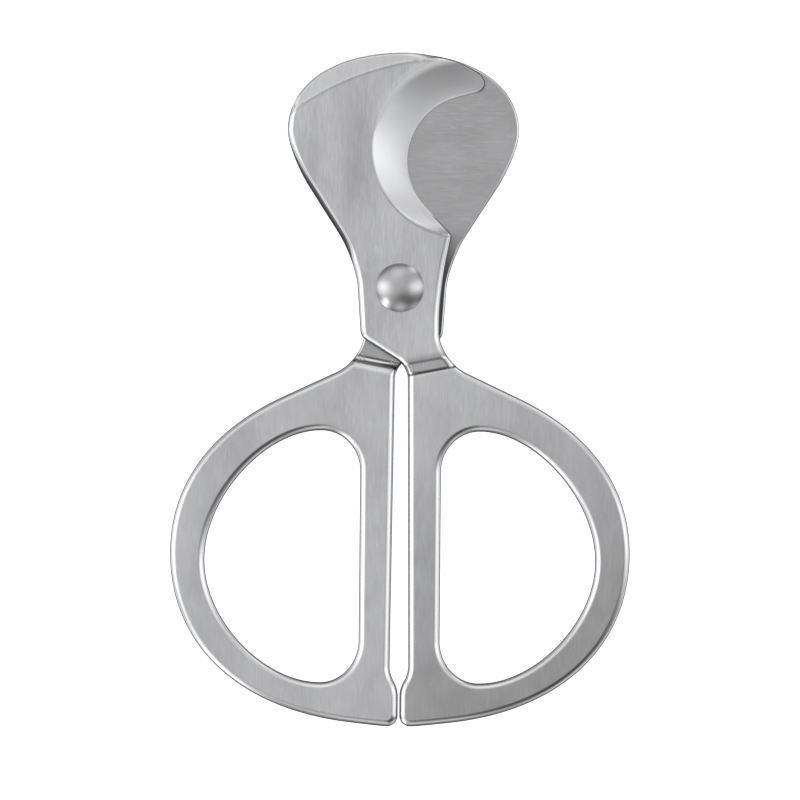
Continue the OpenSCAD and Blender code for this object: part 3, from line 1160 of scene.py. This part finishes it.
def lathe(name: str, profile: np.ndarray, sides: int = 160) -> bpy.types.Object:
    """A closed turned solid: the profile, as radius and height, carried round +Z.

    Point (i, j) is (r_i cos a_j, r_i sin a_j, z_i).  The profile runs so that the solid
    is on its left, and where it starts or ends on the axis its points join in a fan.

    Args:
        name: the object's name.
        profile: rows of radius and height in millimetres; closed if its ends are off
            the axis.
        sides: points round the axis.

    Returns:
        The object, in metres.
    """
    on_axis = profile[0, 0] < TINY
    ring = profile[1:-1] if on_axis else profile
    angle = np.linspace(0.0, 2 * math.pi, sides, endpoint=False)
    radius, height = ring[:, :1], ring[:, 1:]
    verts = np.stack([radius * np.cos(angle), radius * np.sin(angle),
                      height + 0.0 * angle], axis=-1).reshape(-1, 3)
    rows = len(ring)
    i, j = np.meshgrid(np.arange(rows if not on_axis else rows - 1), np.arange(sides),
                       indexing="ij")
    following = (i + 1) % rows
    around = (j + 1) % sides
    quads = np.stack([i * sides + j, i * sides + around, following * sides + around,
                      following * sides + j], axis=-1).reshape(-1, 4)
    faces = [quads]
    if on_axis:
        low, high = len(verts), len(verts) + 1
        verts = np.concatenate([verts, [[0, 0, profile[0, 1]], [0, 0, profile[-1, 1]]]])
        step = np.arange(sides)
        around = (step + 1) % sides
        last = (rows - 1) * sides
        faces.append(np.stack([np.full(sides, low), around, step], axis=1))
        faces.append(np.stack([np.full(sides, high), last + step, last + around], axis=1))
    return linked(name, mesh_of(name, verts * MM, faces))


# ------------------------------------------------------------------ shader maths


class Signal:
    """A socket that carries a number, with Python's operators as Math nodes."""

    def __init__(self, tree: Paper, socket: Any) -> None:
        """Wraps an output socket of the tree."""
        self.tree = tree
        self.socket = socket

    def math(self, operation: str, *others: Any) -> Signal:
        """A Math node with this signal first."""
        return self.tree.node("ShaderNodeMath", {"operation": operation},
                              [self, *others])

    def __add__(self, other: Any) -> Signal:
        """self + other."""
        return self.math("ADD", other)

    def __sub__(self, other: Any) -> Signal:
        """self - other."""
        return self.math("SUBTRACT", other)

    def __mul__(self, other: Any) -> Signal:
        """self * other."""
        return self.math("MULTIPLY", other)

    def __rsub__(self, other: float) -> Signal:
        """other - self."""
        return self.tree.node("ShaderNodeMath", {"operation": "SUBTRACT"}, [other, self])

    def __neg__(self) -> Signal:
        """-self."""
        return self * -1.0

    def at_least(self, other: Any) -> Signal:
        """The larger of the two."""
        return self.math("MAXIMUM", other)

    def ease(self, low: float, high: float) -> Signal:
        """Rises smoothly from 0 at low to 1 at high.

        Args:
            low: value at which the result is 0.
            high: value at which the result is 1; it may be below low.

        Returns:
            The eased signal.
        """
        return self.tree.node(
            "ShaderNodeMapRange", {"interpolation_type": "SMOOTHSTEP"},
            {"Value": self, "From Min": low, "From Max": high})

    __radd__ = __add__
    __rmul__ = __mul__


class Paper:
    """A node tree on which signals are written."""

    def __init__(self, tree: bpy.types.NodeTree) -> None:
        """Takes a tree and clears it."""
        self.tree = tree
        tree.nodes.clear()

    def node(self, kind: str, settings: dict[str, Any] | None = None,
             inputs: dict[Any, Any] | Sequence[Any] = (), output: int | str = 0
             ) -> Signal | None:
        """Adds a node, sets it up and joins its sockets.

        Args:
            kind: the node's type.
            settings: the node's own properties, set first.
            inputs: values or signals, by the socket's name or place, or in order.
            output: the output wanted, by name or place.

        Returns:
            That output, or nothing if the node has none.
        """
        made = self.tree.nodes.new(kind)
        for key, value in (settings or {}).items():
            setattr(made, key, value)
        pairs = inputs.items() if isinstance(inputs, dict) else enumerate(inputs)
        for key, value in pairs:
            socket = made.inputs[key]
            if isinstance(value, Signal):
                self.tree.links.new(value.socket, socket)
            else:
                socket.default_value = value
        return Signal(self, made.outputs[output]) if len(made.outputs) else None

    def mix(self, share: Any, low: Any, high: Any) -> Signal:
        """A colour part of the way from low to high; its sockets go by their places."""
        return self.node("ShaderNodeMix", {"data_type": "RGBA"},
                         {0: share, 6: low, 7: high}, output=2)

    def parts(self, vector: Signal) -> list[Signal]:
        """The vector's X, Y and Z."""
        split = self.node("ShaderNodeSeparateXYZ", {}, [vector]).socket.node
        return [Signal(self, socket) for socket in split.outputs]

    def vector(self, operation: str, inputs: Sequence[Any], output: str = "Vector"
               ) -> Signal:
        """A Vector Math node."""
        return self.node("ShaderNodeVectorMath", {"operation": operation}, inputs, output)

    def stretched(self, source: Signal, scale: Sequence[float]) -> Signal:
        """The vector times a scale on each axis."""
        return self.vector("MULTIPLY", [source, tuple(scale)])

    def noise(self, vector: Signal, detail: float = 2.0, scale: float = 1.0) -> Signal:
        """Soft noise from 0 to 1 at the vector."""
        return self.node("ShaderNodeTexNoise", {"noise_dimensions": "3D"},
                         {"Vector": vector, "Scale": scale, "Detail": detail})

    def marks(self) -> dict[Zone, Signal]:
        """The piece's own attribute of each zone."""
        return {zone: self.node("ShaderNodeAttribute", {"attribute_name": zone.value},
                                output="Fac") for zone in Zone}

    def steel(self, colour: Signal, rough: Signal, height: Signal, strength: float,
              relief: float) -> None:
        """Ends the tree in bare metal.

        Args:
            colour: the metal's colour.
            rough: its roughness.
            height: its fine relief, from 0 to 1.
            strength: how far the relief turns the normal.
            relief: the relief's height in metres.
        """
        bump = self.node("ShaderNodeBump", {}, {
            "Strength": strength, "Distance": relief, "Height": height})
        surface = self.node("ShaderNodeBsdfPrincipled", {}, {
            "Base Color": colour, "Metallic": 1.0, "Roughness": rough, "Normal": bump})
        self.node("ShaderNodeOutputMaterial", {}, {"Surface": surface})


# ------------------------------------------------------------------ finishes


def fresh(name: str) -> tuple[bpy.types.Material, Paper]:
    """A new material and the cleared tree that it is written on.

    Args:
        name: the material's name.

    Returns:
        The material and its tree.
    """
    material = bpy.data.materials.new(name)
    material.use_nodes = True
    return material, Paper(material.node_tree)


def grey(value: float) -> tuple[float, float, float, float]:
    """Stainless steel's nearly neutral, faintly cool colour at that brightness."""
    return (value * 0.99, value * 0.993, value * 1.01, 1.0)


@dataclass(frozen=True)
class StampedSteel:
    """Brushed stainless sheet with tumbled edges and a ground, polished hollow, with
    painted shade and painted highlights laid over it.

    face, handle and slide are the greys of the blade's outer face, the ring and the
    sliding face, and the number after them is how far painted shade darkens the ring
    towards its bottom.  spread is how far the brushing moves a grey either way.  The other
    greys are those of the zones, in the order in which they are laid over each other; the
    greys of the lines are painted highlight and painted shade, and those of the neck's
    strip, the wall and the flank's wall are painted shade.
    """

    name: str
    face: float
    handle: float
    slide: float
    bottom_shade: float
    seed: float
    spread: float = 0.20
    slide_spread: float = 0.18
    black: float = 0.0
    rim: float = 0.85
    dish: float = 0.93
    shoulder: float = 0.92
    # Greys of the painted highlight lines and the painted shade lines.
    highlight_grey: float = 0.97
    shade_grey: float = 0.1
    bevel: float = 0.66
    # Grey of the painted shade on the sliding face beside the neck.
    painted_neck_shade: float = 0.07
    # Greys that paint the wall and the flank's wall dark, as painted shade.
    wall: float = 0.12
    flank_wall: float = 0.03

    def make(self) -> bpy.types.Material:
        """Writes the material.

        The outer face is brushed along the tool and the sliding face across it: long
        thin noise lowers and raises colour, roughness and height.  The shoulder, the
        hollow and the wall aren't brushed, and the wall is duller and painted dark as
        painted shade, a dark outline.

        Returns:
            The material.
        """
        material, paper = fresh(self.name)
        place = paper.node("ShaderNodeTexCoord", output="Object")
        mm = paper.vector("ADD", [paper.stretched(place, (1 / MM,) * 3),
                                  (self.seed, self.seed * 0.7, 0.0)])
        marks = paper.marks()
        slide, ring, wall = marks[Zone.SLIDE], marks[Zone.RING], marks[Zone.WALL]
        fine = self.brushed(paper, mm, slide, across=4.2, along=0.42, detail=3.0)
        streak = self.brushed(paper, mm, slide, across=1.6, along=0.24, detail=4.0)
        broad = self.brushed(paper, mm, slide, across=0.2, along=0.045, detail=2.0)
        cloud = paper.noise(paper.stretched(mm, (0.16, 0.10, 0.1)), detail=4.0)
        smoothed = marks[Zone.SHOULDER].at_least(marks[Zone.DISH] * 0.85).at_least(wall)
        brushed = 1.0 - smoothed
        nicks = self.brushed(paper, mm, slide, across=3.6, along=0.4, detail=1.0)
        nicks = nicks.ease(0.60, 0.72) * (slide * 0.14 + 0.12) * brushed
        faint = 1.0 - ring * 0.45
        tone = ((fine - 0.5) * 0.6 + (streak - 0.5) * 0.45) * brushed * faint + nicks
        tone = tone + (broad - 0.5) * 0.5 * faint + (cloud - 0.5) * (ring * 0.3 + 0.5)
        x, y, _ = paper.parts(place)
        # Painted shade: how far a place is towards the ring's bottom, where the ring is
        # darkened.
        low = ((x * 0.5 - y) * (1 / MM)).ease(10.0, 85.0)
        colour = self.layered(paper, marks, tone, low)
        rough = (streak - 0.5) * 0.16 + (cloud - 0.5) * 0.08 + 0.34
        rough = rough * brushed + smoothed * (streak * 0.06 + 0.19)
        rough = (rough + wall * 0.2) * (1.0 - marks[Zone.STEP] * 0.5)
        height = fine * brushed + streak * brushed * 0.6 + cloud * smoothed * 0.4
        paper.steel(colour, rough, height, strength=0.5, relief=0.000006)
        return material

    def layered(self, paper: Paper, marks: dict[Zone, Signal], tone: Signal,
                low: Signal) -> Signal:
        """The colour: the brushed greys, with each zone's own grey laid over them; some of
        those greys are painted shade and painted highlight.

        Args:
            paper: the tree written on.
            marks: each zone's attribute.
            tone: the brushing, about 0.
            low: where painted shade darkens the ring: towards its bottom, from 0 to 1.

        Returns:
            The colour.
        """
        shoulder, wall = marks[Zone.SHOULDER], marks[Zone.WALL]
        level, painted_lines = 1.0 - shoulder, marks[Zone.PAINTED_LINES]
        share = (tone + 0.5).ease(0.0, 1.0)
        face, held = (self.about(paper, share, value, self.spread)
                      for value in (self.face, self.handle))
        # Painted shade: the ring darkens towards its bottom.
        held = paper.mix(low * self.bottom_shade, held, grey(self.black))
        ground = self.about(paper, (tone * 0.8 + 0.5).ease(0.0, 1.0), self.slide,
                            self.slide_spread)
        colour = paper.mix(marks[Zone.RING], face, held)
        for amount, over in (
                # A darker strip of the lobe beside the hollow.
                (marks[Zone.DARK_STRIP] * 0.2, grey(self.black)),
                (marks[Zone.RIM] * 0.4, grey(self.rim)),
                (marks[Zone.SLIDE] * level, ground),
                (marks[Zone.DISH] * level * 0.95, grey(self.dish)),
                (shoulder * 0.9, grey(self.shoulder)),
                # Painted highlights, then painted shade lines.
                (painted_lines.at_least(0.0), grey(self.highlight_grey)),
                ((-painted_lines).at_least(0.0), grey(self.shade_grey)),
                (marks[Zone.BEVEL] * 0.4 * level, grey(self.bevel)),
                # Painted shade on the sliding face beside the front half's neck.
                (marks[Zone.NECK_SHADE] * (1.0 - shoulder * 0.8) * 0.92, grey(self.painted_neck_shade)),
                # Painted shade: the wall, and more so the flank's wall, painted dark as a
                # dark outline.
                (wall * 0.95, grey(self.wall)),
                (wall * marks[Zone.FLANK] * 0.8, grey(self.flank_wall))):
            colour = paper.mix(amount, colour, over)
        return colour

    @staticmethod
    def about(paper: Paper, share: Signal, value: float, spread: float) -> Signal:
        """A grey moved both ways by the spread."""
        return paper.mix(share, grey(value * (1.0 - spread)), grey(value * (1.0 + spread)))

    @staticmethod
    def brushed(paper: Paper, mm: Signal, slide: Signal, across: float, along: float,
                detail: float) -> Signal:
        """Noise drawn out along the brushing, which turns on the sliding face.

        Args:
            paper: the tree written on.
            mm: place in millimetres.
            slide: 1 on the sliding face.
            across: cycles per millimetre square to the brushing.
            along: cycles per millimetre along it.
            detail: octaves of the noise.

        Returns:
            The noise, from 0 to 1.
        """
        upright = paper.noise(paper.stretched(mm, (across, along, along)), detail)
        level = paper.noise(paper.stretched(mm, (along, across, along)), detail)
        return upright * (1.0 - slide) + level * slide


@dataclass(frozen=True)
class TumbledSteel:
    """Satin steel of the rivet and the washer, with fine pits and turning marks."""

    name: str
    colour: float
    roughness: float
    rings: float

    def make(self) -> bpy.types.Material:
        """Writes the material: pitted noise and faint rings about the pivot.

        Returns:
            The material.
        """
        material, paper = fresh(self.name)
        mm = paper.stretched(paper.node("ShaderNodeTexCoord", output="Object"),
                             (1 / MM,) * 3)
        radius = paper.vector("LENGTH", [paper.stretched(mm, (1.0, 1.0, 0.0))], "Value")
        rings = paper.noise(paper.node("ShaderNodeCombineXYZ", {},
                                       [radius * self.rings, 0.0, 0.0]), detail=2.0)
        pits = paper.noise(paper.stretched(mm, (5.0, 5.0, 5.0)), detail=4.0)
        cloud = paper.noise(paper.stretched(mm, (0.6, 0.6, 0.6)), detail=1.0)
        tone = (pits - 0.5) * 0.35 + (rings - 0.5) * 0.25 + (cloud - 0.5) * 0.4 + 0.5
        colour = paper.mix(tone.ease(0.0, 1.0), grey(self.colour * 0.84),
                           grey(self.colour * 1.14))
        rough = (pits - 0.5) * 0.12 + (rings - 0.5) * 0.08 + self.roughness
        paper.steel(colour, rough, pits * 0.7 + rings * 0.3, strength=0.35,
                    relief=0.000008)
        return material


# ------------------------------------------------------------------ the pieces


@dataclass(frozen=True)
class Frame:
    """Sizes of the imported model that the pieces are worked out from, in millimetres."""

    front_low: np.ndarray
    front_high: np.ndarray
    rear_low: np.ndarray
    rear_high: np.ndarray
    rivet_low: np.ndarray
    rivet_high: np.ndarray
    washer_low: np.ndarray
    washer_high: np.ndarray

    @classmethod
    def read(cls) -> Frame:
        """Reads the boxes of the four nodes.

        Returns:
            The sizes.
        """
        corners = [np.array(corner) / MM for node in
                   ("front_half", "rear_half", "pivot_rivet", "tail_washer")
                   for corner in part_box(node)]
        return cls(*corners)

    @property
    def parting(self) -> float:
        """Height of the plane between the two blades."""
        return float(self.front_high[2] + self.rear_low[2]) / 2

    @property
    def sheet(self) -> float:
        """Thickness of the sheet, from the rings, which both halves hold level."""
        return float(self.rear_high[2] - self.front_low[2])

    @property
    def centre_line(self) -> float:
        """X of the line about which the two halves are turned."""
        return float(self.front_high[0] + self.rear_low[0]) / 2

    def stamping(self, bore_x: float, bore_r: float) -> Stamping:
        """The stamping of this frame's size, with its own pivot hole.

        Args:
            bore_x: how far the hole's centre is from the stamping's centre line.
            bore_r: the hole's radius.

        Returns:
            The stamping.
        """
        return Stamping(
            head_reach=float(self.front_high[1]),
            tail_reach=-float(self.front_low[1]),
            lobe_half=float(self.rear_high[0] - self.front_low[0]) / 2,
            ring_half=float(self.front_high[0] - self.rear_low[0]) / 2,
            sheet=self.sheet,
            blade_low=float(self.front_high[2]) - self.sheet - self.parting,
            bore_x=bore_x,
            bore_r=bore_r)


@dataclass
class Half:
    """A stamping in its place: the front one as it is, the rear one turned over."""

    node: str
    body: str
    turned_over: bool
    bore_r: float
    finish: StampedSteel
    piece: bpy.types.Object | None = None

    def build(self, sizes: Frame) -> None:
        """Makes the mesh and carries it to its place.

        Args:
            sizes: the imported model's sizes.
        """
        bore_x = sizes.centre_line if self.turned_over else -sizes.centre_line
        self.piece = sizes.stamping(bore_x, self.bore_r).build(f"{self.node}_steel")
        place = Matrix.Translation((sizes.centre_line * MM, 0.0, sizes.parting * MM))
        if self.turned_over:
            place = place @ Matrix.Rotation(math.pi, 4, "Y")
        self.piece.data.transform(place)
        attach(self.piece, self.body)
        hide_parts(self.node)

    def dress(self) -> None:
        """Gives the piece its finish."""
        self.piece.data.materials.append(self.finish.make())


@dataclass
class Rivet:
    """The domed rivet: head, shoulder, tenon and a tail closed over the washer."""

    shoulder_r: float = 2.5
    tenon_r: float = 1.8
    tail_r: float = 3.0
    tail_edge: float = 0.35
    head_lip: float = 0.22
    chamfer: float = 0.02
    body: str = "rear_body"
    piece: bpy.types.Object | None = None

    def profile(self, sizes: Frame) -> np.ndarray:
        """Half section from the tail's centre round to the top of the dome.

        The dome is a ball's cap over a small upright lip, and the tail's rim is a
        quarter circle.

        Args:
            sizes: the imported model's sizes.

        Returns:
            Rows of radius and height.
        """
        head_r = float(sizes.rivet_high[0])
        top = float(sizes.rivet_high[2])
        under = float(sizes.front_high[2]) + PIVOT_PLAY
        tail_h = float(sizes.washer_low[2])
        edge, nib = self.tail_edge, self.chamfer
        turn = np.radians(np.linspace(-90.0, 0.0, 10))
        rim = on_circles(np.array([self.tail_r - edge, edge]), edge, turn)
        lip_z = under + self.head_lip
        rise = top - lip_z
        ball = (head_r**2 + rise**2) / (2 * rise)
        spread = math.asin(min(1.0, head_r / ball))
        sweep = np.linspace(spread, 0.0, 48)
        cap = np.stack([ball * np.sin(sweep), top - ball + ball * np.cos(sweep)], axis=1)
        lip = np.radians(np.linspace(-90.0, 0.0, 7))
        low_r = self.head_lip * 0.8
        lip_low = on_circles(np.array([head_r - low_r, under + low_r]), low_r, lip)
        parting = sizes.parting
        shank = [[self.tail_r, tail_h - nib], [self.tail_r - nib, tail_h],
                 [self.tenon_r, tail_h], [self.tenon_r, parting - nib],
                 [self.tenon_r + nib, parting], [self.shoulder_r - nib, parting],
                 [self.shoulder_r, parting + nib], [self.shoulder_r, under]]
        return np.concatenate([[[0.0, 0.0]], [[self.tail_r - edge - 0.6, 0.0]], rim,
                               shank, lip_low, cap])

    def build(self, sizes: Frame) -> None:
        """Turns the rivet on its axis.

        Args:
            sizes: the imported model's sizes.
        """
        self.piece = lathe("pivot_rivet_steel", self.profile(sizes))
        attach(self.piece, self.body)
        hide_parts("pivot_rivet")

    def dress(self) -> None:
        """Gives the rivet its satin finish."""
        finish = TumbledSteel("rivet_satin_steel", 0.58, 0.2, 1.6)
        self.piece.data.materials.append(finish.make())


@dataclass
class Washer:
    """The washer under the rivet's tail, with edges broken by stamping."""

    hole_r: float = 1.85
    soft: float = 0.12
    body: str = "rear_body"
    piece: bpy.types.Object | None = None

    def build(self, sizes: Frame) -> None:
        """Carries a round-cornered rectangle round the pivot axis.

        Args:
            sizes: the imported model's sizes.
        """
        low, high = float(sizes.washer_low[2]), float(sizes.washer_high[2])
        outer = float(sizes.washer_high[0])
        soft = self.soft
        corners = [(outer - soft, low + soft, -90.0), (outer - soft, high - soft, 0.0),
                   (self.hole_r + soft, high - soft, 90.0),
                   (self.hole_r + soft, low + soft, 180.0)]
        turn = np.linspace(0.0, 90.0, 7)
        profile = np.concatenate([
            on_circles(np.array([r, z]), soft, np.radians(turn + start))
            for r, z, start in corners])
        self.piece = lathe("tail_washer_steel", profile)
        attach(self.piece, self.body)
        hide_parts("tail_washer")

    def dress(self) -> None:
        """Gives the washer its satin finish."""
        finish = TumbledSteel("washer_satin_steel", 0.58, 0.38, 3.5)
        self.piece.data.materials.append(finish.make())


# ------------------------------------------------------------------ the studio


@dataclass(frozen=True)
class Glow:
    """A soft patch in the light tent; a negative strength makes it darker there.

    Bearing is in degrees from +X towards +Y, and tip in degrees down from overhead.
    """

    bearing: float
    tip: float
    tightness: float
    strength: float

    @property
    def direction(self) -> tuple[float, float, float]:
        """Unit vector towards the patch's middle.

        Returns:
            The vector's three parts.
        """
        bearing, tip = math.radians(self.bearing), math.radians(self.tip)
        return (math.sin(tip) * math.cos(bearing), math.sin(tip) * math.sin(bearing),
                math.cos(tip))


@dataclass
class Studio:
    """Pale floor, a light tent and the camera above.

    Lengths are in metres, angles in degrees, and aim_x and aim_y are in millimetres
    from the pivot and from the tool's middle.  view is the width of the view for a
    tool of length 1.
    """

    floor_z: float = -0.00002
    floor_size: float = 3.0
    floor_glow: float = 0.8
    overhead: float = 0.86
    shade: float = 0.62
    shade_bearing: float = -55.0
    horizon: float = 0.35
    under: float = 0.25
    under_sides: float = 1.0
    darkest: float = 0.03
    distance: float = 0.75
    sensor: float = 36.0
    view: float = 1.1869436
    aim_x: float = 0.2
    aim_y: float = -1.95
    tilt: float = 2.5
    roll: float = 0.5
    glows: tuple[Glow, ...] = (
        Glow(2.0, 48.0, 18.0, 1.0),
        Glow(50.0, 46.0, 16.0, -0.2),
        Glow(8.0, 74.0, 20.0, 1.15),
        Glow(178.0, 51.0, 16.0, 0.9),
        Glow(172.0, 72.0, 18.0, 0.9),
        Glow(95.0, 54.0, 16.0, 0.35),
        Glow(56.0, 84.0, 50.0, 1.3),
        Glow(-136.0, 66.0, 80.0, 2.4),
        Glow(-50.0, 48.0, 20.0, -0.08),
        Glow(-133.0, 88.0, 40.0, 3.0),
        Glow(-88.0, 68.0, 24.0, 0.8),
        Glow(-50.0, 90.0, 24.0, 1.0),
        Glow(-85.0, 33.0, 30.0, -0.12),
    )

    def light(self) -> None:
        """A tent that is even overhead and falls off towards one side, with patches.

        The fall is a smooth step in the level part of the direction.  A patch adds its
        strength times e to the tightness times (cosine - 1), where the cosine is that
        between the patch's direction and the one looked in.  Below the horizon there is
        a plain glow that grows towards -X and +X with the square of x.
        """
        world = bpy.data.worlds.new("light_tent")
        bpy.context.scene.world = world
        world.use_nodes = True
        paper = Paper(world.node_tree)
        way = paper.node("ShaderNodeTexCoord", output="Generated")
        side = math.radians(self.shade_bearing)
        across = paper.vector("DOT_PRODUCT", [way, (math.cos(side), math.sin(side), 0.0)],
                              "Value")
        level, _, up = paper.parts(way)
        total = self.overhead - across.ease(-0.25, 0.9) * self.shade
        total = total * (up.ease(0.05, 0.5) * (1.0 - self.horizon) + self.horizon)
        for glow in self.glows:
            near = paper.vector("DOT_PRODUCT", [way, glow.direction], "Value")
            patch = ((near - 1.0) * glow.tightness).math("EXPONENT")
            total = patch * glow.strength + total
        below = up.ease(0.0, -0.12)
        total = total * (1.0 - below)
        total = total + below * (level * level * self.under_sides + self.under)
        tent = paper.node("ShaderNodeBackground", {},
                          {"Strength": total.at_least(self.darkest)})
        paper.node("ShaderNodeOutputWorld", {}, {"Surface": tent})

    def floor(self) -> None:
        """A plain white sheet under the tool, which the steel doesn't mirror."""
        half = self.floor_size / 2
        verts = np.array([[-half, -half, self.floor_z], [half, -half, self.floor_z],
                          [half, half, self.floor_z], [-half, half, self.floor_z]])
        made = linked("floor", mesh_of("floor", verts, [np.array([[0, 1, 2, 3]])]))
        material, paper = fresh("floor_paper")
        place = paper.node("ShaderNodeTexCoord", output="Object")
        fibre = paper.noise(place, detail=3.0, scale=900.0)
        colour = paper.mix(fibre, (0.90, 0.90, 0.90, 1.0), (0.93, 0.93, 0.93, 1.0))
        surface = paper.node("ShaderNodeBsdfPrincipled", {}, {
            "Base Color": colour, "Roughness": 0.9, "Emission Color": (1, 1, 1, 1),
            "Emission Strength": self.floor_glow})
        paper.node("ShaderNodeOutputMaterial", {}, {"Surface": surface})
        made.data.materials.append(material)
        made.visible_glossy = False

    def camera(self, sizes: Frame) -> None:
        """A long lens almost straight above the middle of the tool.

        Args:
            sizes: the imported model's sizes.
        """
        reach = float(sizes.front_high[1] - sizes.front_low[1])
        middle = float(sizes.front_high[1] + sizes.front_low[1]) / 2
        aim = Vector((self.aim_x, middle + self.aim_y, sizes.parting)) * MM
        width = reach * MM * self.view
        data = bpy.data.cameras.new("camera")
        data.sensor_width = self.sensor
        data.lens = self.sensor * self.distance / width
        data.clip_start = 0.01
        made = bpy.data.objects.new("camera", data)
        bpy.context.scene.collection.objects.link(made)
        lean = math.radians(self.tilt)
        roll = Matrix.Rotation(math.radians(self.roll), 4, "Z")
        turn = Matrix.Rotation(lean, 4, "X") @ roll
        back = Vector((0.0, -math.sin(lean), math.cos(lean))) * self.distance
        made.matrix_world = Matrix.Translation(aim + back) @ turn
        bpy.context.scene.camera = made

    def build(self, sizes: Frame) -> None:
        """Sets up the camera, the floor, the light and the view's plain transform.

        Args:
            sizes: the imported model's sizes.
        """
        self.camera(sizes)
        self.floor()
        self.light()
        view = bpy.context.scene.view_settings
        view.view_transform = "Standard"
        view.look = "None"


def main() -> None:
    """Builds each piece in order, dresses it and sets up the studio."""
    logging.basicConfig(level=logging.INFO, format="%(name)s: %(message)s")
    sizes = Frame.read()
    rivet = Rivet()
    pieces: list[Half | Rivet | Washer] = [
        Half("front_half", "front_body", turned_over=False,
             bore_r=rivet.shoulder_r + PIVOT_PLAY,
             finish=StampedSteel("front_brushed_steel", face=0.69, handle=0.69,
                                 slide=0.53, bottom_shade=0.31, seed=3.0)),
        Half("rear_half", "rear_body", turned_over=True, bore_r=rivet.tenon_r,
             finish=StampedSteel("rear_brushed_steel", face=0.66, handle=0.69,
                                 slide=0.525, bottom_shade=0.0, seed=57.0)),
        rivet,
        Washer(),
    ]
    for part in pieces:
        part.build(sizes)
        part.dress()
        log.info("%s: %d faces", part.piece.name, len(part.piece.data.polygons))
    Studio().build(sizes)


if __name__ == "__main__":
    main()
